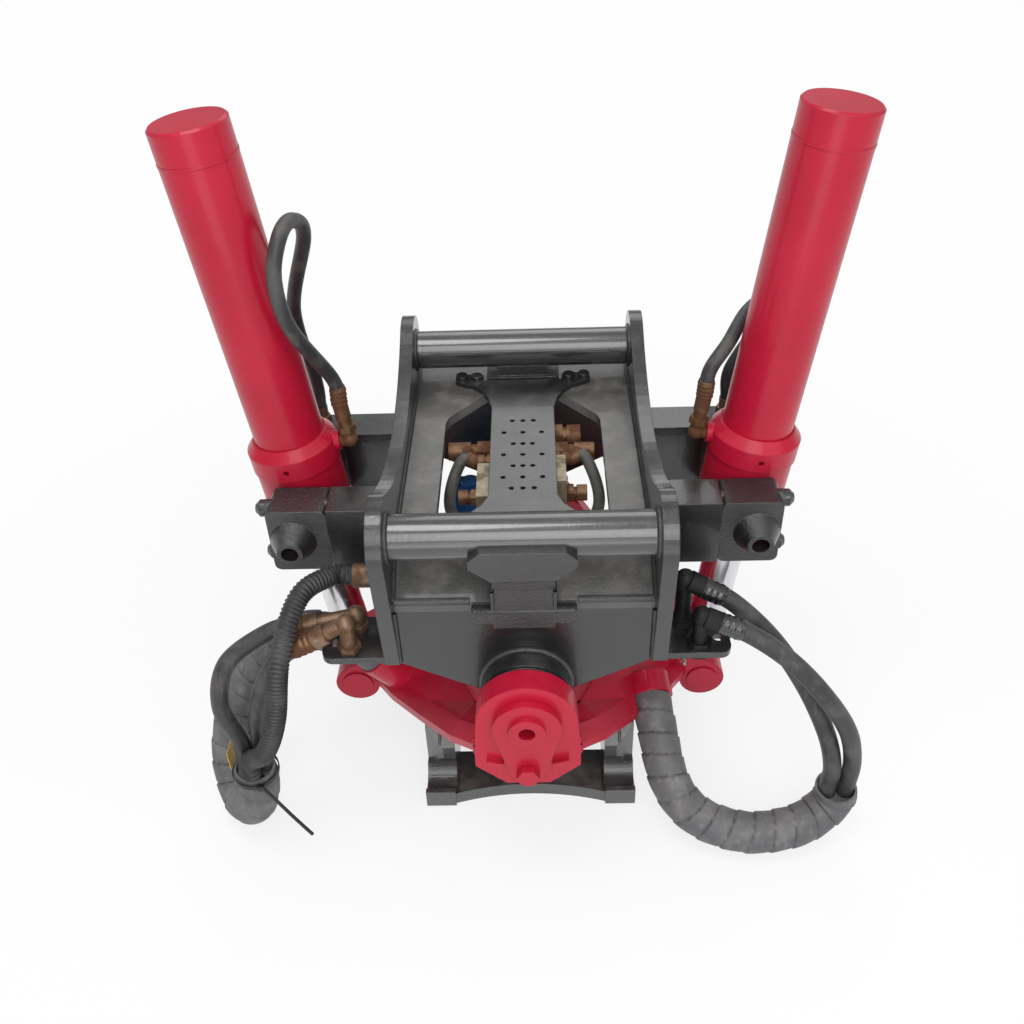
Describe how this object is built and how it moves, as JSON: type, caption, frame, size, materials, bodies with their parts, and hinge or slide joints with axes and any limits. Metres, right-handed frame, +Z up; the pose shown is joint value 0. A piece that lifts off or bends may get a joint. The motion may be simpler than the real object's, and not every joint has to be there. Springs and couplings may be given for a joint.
{
  "type": "excavator tilt rotator",
  "caption": "Excavator tilt rotator: a pinned hitch frame tilts on long cylinders over a turning red housing, with hook claws and a lock for the attachment below.",
  "frame": {"origin": "on the floor under the turning axis", "axes": "+X right, +Y to the rear, +Z up along the turning axis"},
  "size_m": [0.9766, 0.726, 0.9992],
  "materials": {
    "red_paint": "semi-gloss",
    "black_paint": "semi-gloss, dusty",
    "bare_steel": "machined",
    "chromed_rod": "polished",
    "bronze": "machined",
    "blue_paint": "semi-gloss",
    "rusty_fitting": "surface rust",
    "cast_valve": "cast and dusty",
    "rubber_hose": "worn matt",
    "conduit": "corrugated"
  },
  "bodies": {
    "coupler": {"coupler_frame": "black_paint", "rotor_flange": "bare_steel", "ring_gear": "bare_steel", "flange_bolts": "bare_steel", "rotor_retainer": "bare_steel", "lock_cylinder": "black_paint"},
    "lock": {"lock_slide": "bare_steel"},
    "housing": {"rotor_housing": "red_paint", "slew_ring": "bronze", "swivel_cover": "red_paint", "oil_swivel": "black_paint", "drive_motor": "blue_paint", "tilt_pin_front": "red_paint", "tilt_pin_rear": "red_paint", "tilt_pin_bolts": "red_paint", "arm_pin_left": "red_paint", "arm_pin_right": "red_paint", "right_hose_upper": "rubber_hose", "right_hose_lower": "rubber_hose", "right_bundle": "rubber_hose", "left_hose_outer": "rubber_hose", "left_hose_inner": "rubber_hose", "left_conduit": "conduit", "left_bundle": "rubber_hose", "valve_hose_left": "rubber_hose", "valve_hose_right": "rubber_hose"},
    "pinion": {"drive_pinion": "bare_steel"},
    "frame": {"side_plate_left": "black_paint", "side_plate_right": "black_paint", "front_hitch_pin": "black_paint", "rear_hitch_pin": "black_paint", "deck_plate": "black_paint", "front_cross_plate": "black_paint", "rear_cross_plate": "black_paint", "pin_supports": "black_paint", "tilt_bushes": "bronze", "trunnion_blocks": "black_paint", "trunnion_bushes": "bronze", "trunnion_bolts": "black_paint", "hose_brackets": "black_paint", "frame_fittings": "rusty_fitting", "valve_block": "cast_valve", "valve_cover": "black_paint", "cover_bolts": "black_paint", "valve_fittings": "rusty_fitting"},
    "barrel_left": {"tilt_barrel_left": "red_paint", "trunnion_collar_left": "red_paint", "rod_gland_left": "bare_steel", "port_fitting_left": "rusty_fitting", "barrel_hose_left": "rubber_hose"},
    "barrel_right": {"tilt_barrel_right": "red_paint", "trunnion_collar_right": "red_paint", "rod_gland_right": "bare_steel", "port_fitting_right": "rusty_fitting", "barrel_hose_right": "rubber_hose"},
    "rod_left": {"tilt_rod_left": "chromed_rod", "piston_left": "bare_steel"},
    "rod_right": {"tilt_rod_right": "chromed_rod", "piston_right": "bare_steel"}
  },
  "joints": [
    {"name": "rotate", "type": "hinge", "parent": "coupler", "child": "housing", "pos_m": [0, 0, 0.19], "axis": [0, 0, 1], "continuous": true},
    {"name": "pinion_spin", "type": "hinge", "parent": "housing", "child": "pinion", "pos_m": [-0.08004, 0.10244, 0.184], "axis": [0, 0, 1], "continuous": true},
    {"name": "tilt", "type": "hinge", "parent": "housing", "child": "frame", "pos_m": [0, 0, 0.306], "axis": [0, 1, 0], "range_deg": [-40, 40], "deforming": ["right_hose_upper", "right_hose_lower", "right_bundle", "left_hose_outer", "left_hose_inner", "left_conduit", "left_bundle", "valve_hose_left", "valve_hose_right"]},
    {"name": "trunnion_left", "type": "hinge", "parent": "frame", "child": "barrel_left", "pos_m": [-0.32365, 0, 0.44942], "axis": [0, 1, 0], "range_deg": [-20, 20], "deforming": ["barrel_hose_left"]},
    {"name": "trunnion_right", "type": "hinge", "parent": "frame", "child": "barrel_right", "pos_m": [0.32365, 0, 0.44942], "axis": [0, 1, 0], "range_deg": [-20, 20], "deforming": ["barrel_hose_right"]},
    {"name": "rod_swing_left", "type": "hinge", "parent": "housing", "child": "rod_left", "pos_m": [-0.28309, 0, 0.09345], "axis": [0, 1, 0], "range_deg": [-20, 20]},
    {"name": "rod_swing_right", "type": "hinge", "parent": "housing", "child": "rod_right", "pos_m": [0.28309, 0, 0.09345], "axis": [0, 1, 0], "range_deg": [-20, 20]},
    {"name": "lock_travel", "type": "slide", "parent": "coupler", "child": "lock", "axis": [0, 1, 0], "range_m": [-0.04, 0]}
  ],
  "couplings": [
    {"joint": "pinion_spin", "follows": "rotate", "ratio": 4},
    {"joint": "trunnion_left", "follows": "tilt", "ratio": -0.5},
    {"joint": "trunnion_right", "follows": "tilt", "ratio": -0.5},
    {"joint": "rod_swing_left", "follows": "tilt", "ratio": 0.5},
    {"joint": "rod_swing_right", "follows": "tilt", "ratio": 0.5}
  ]
}
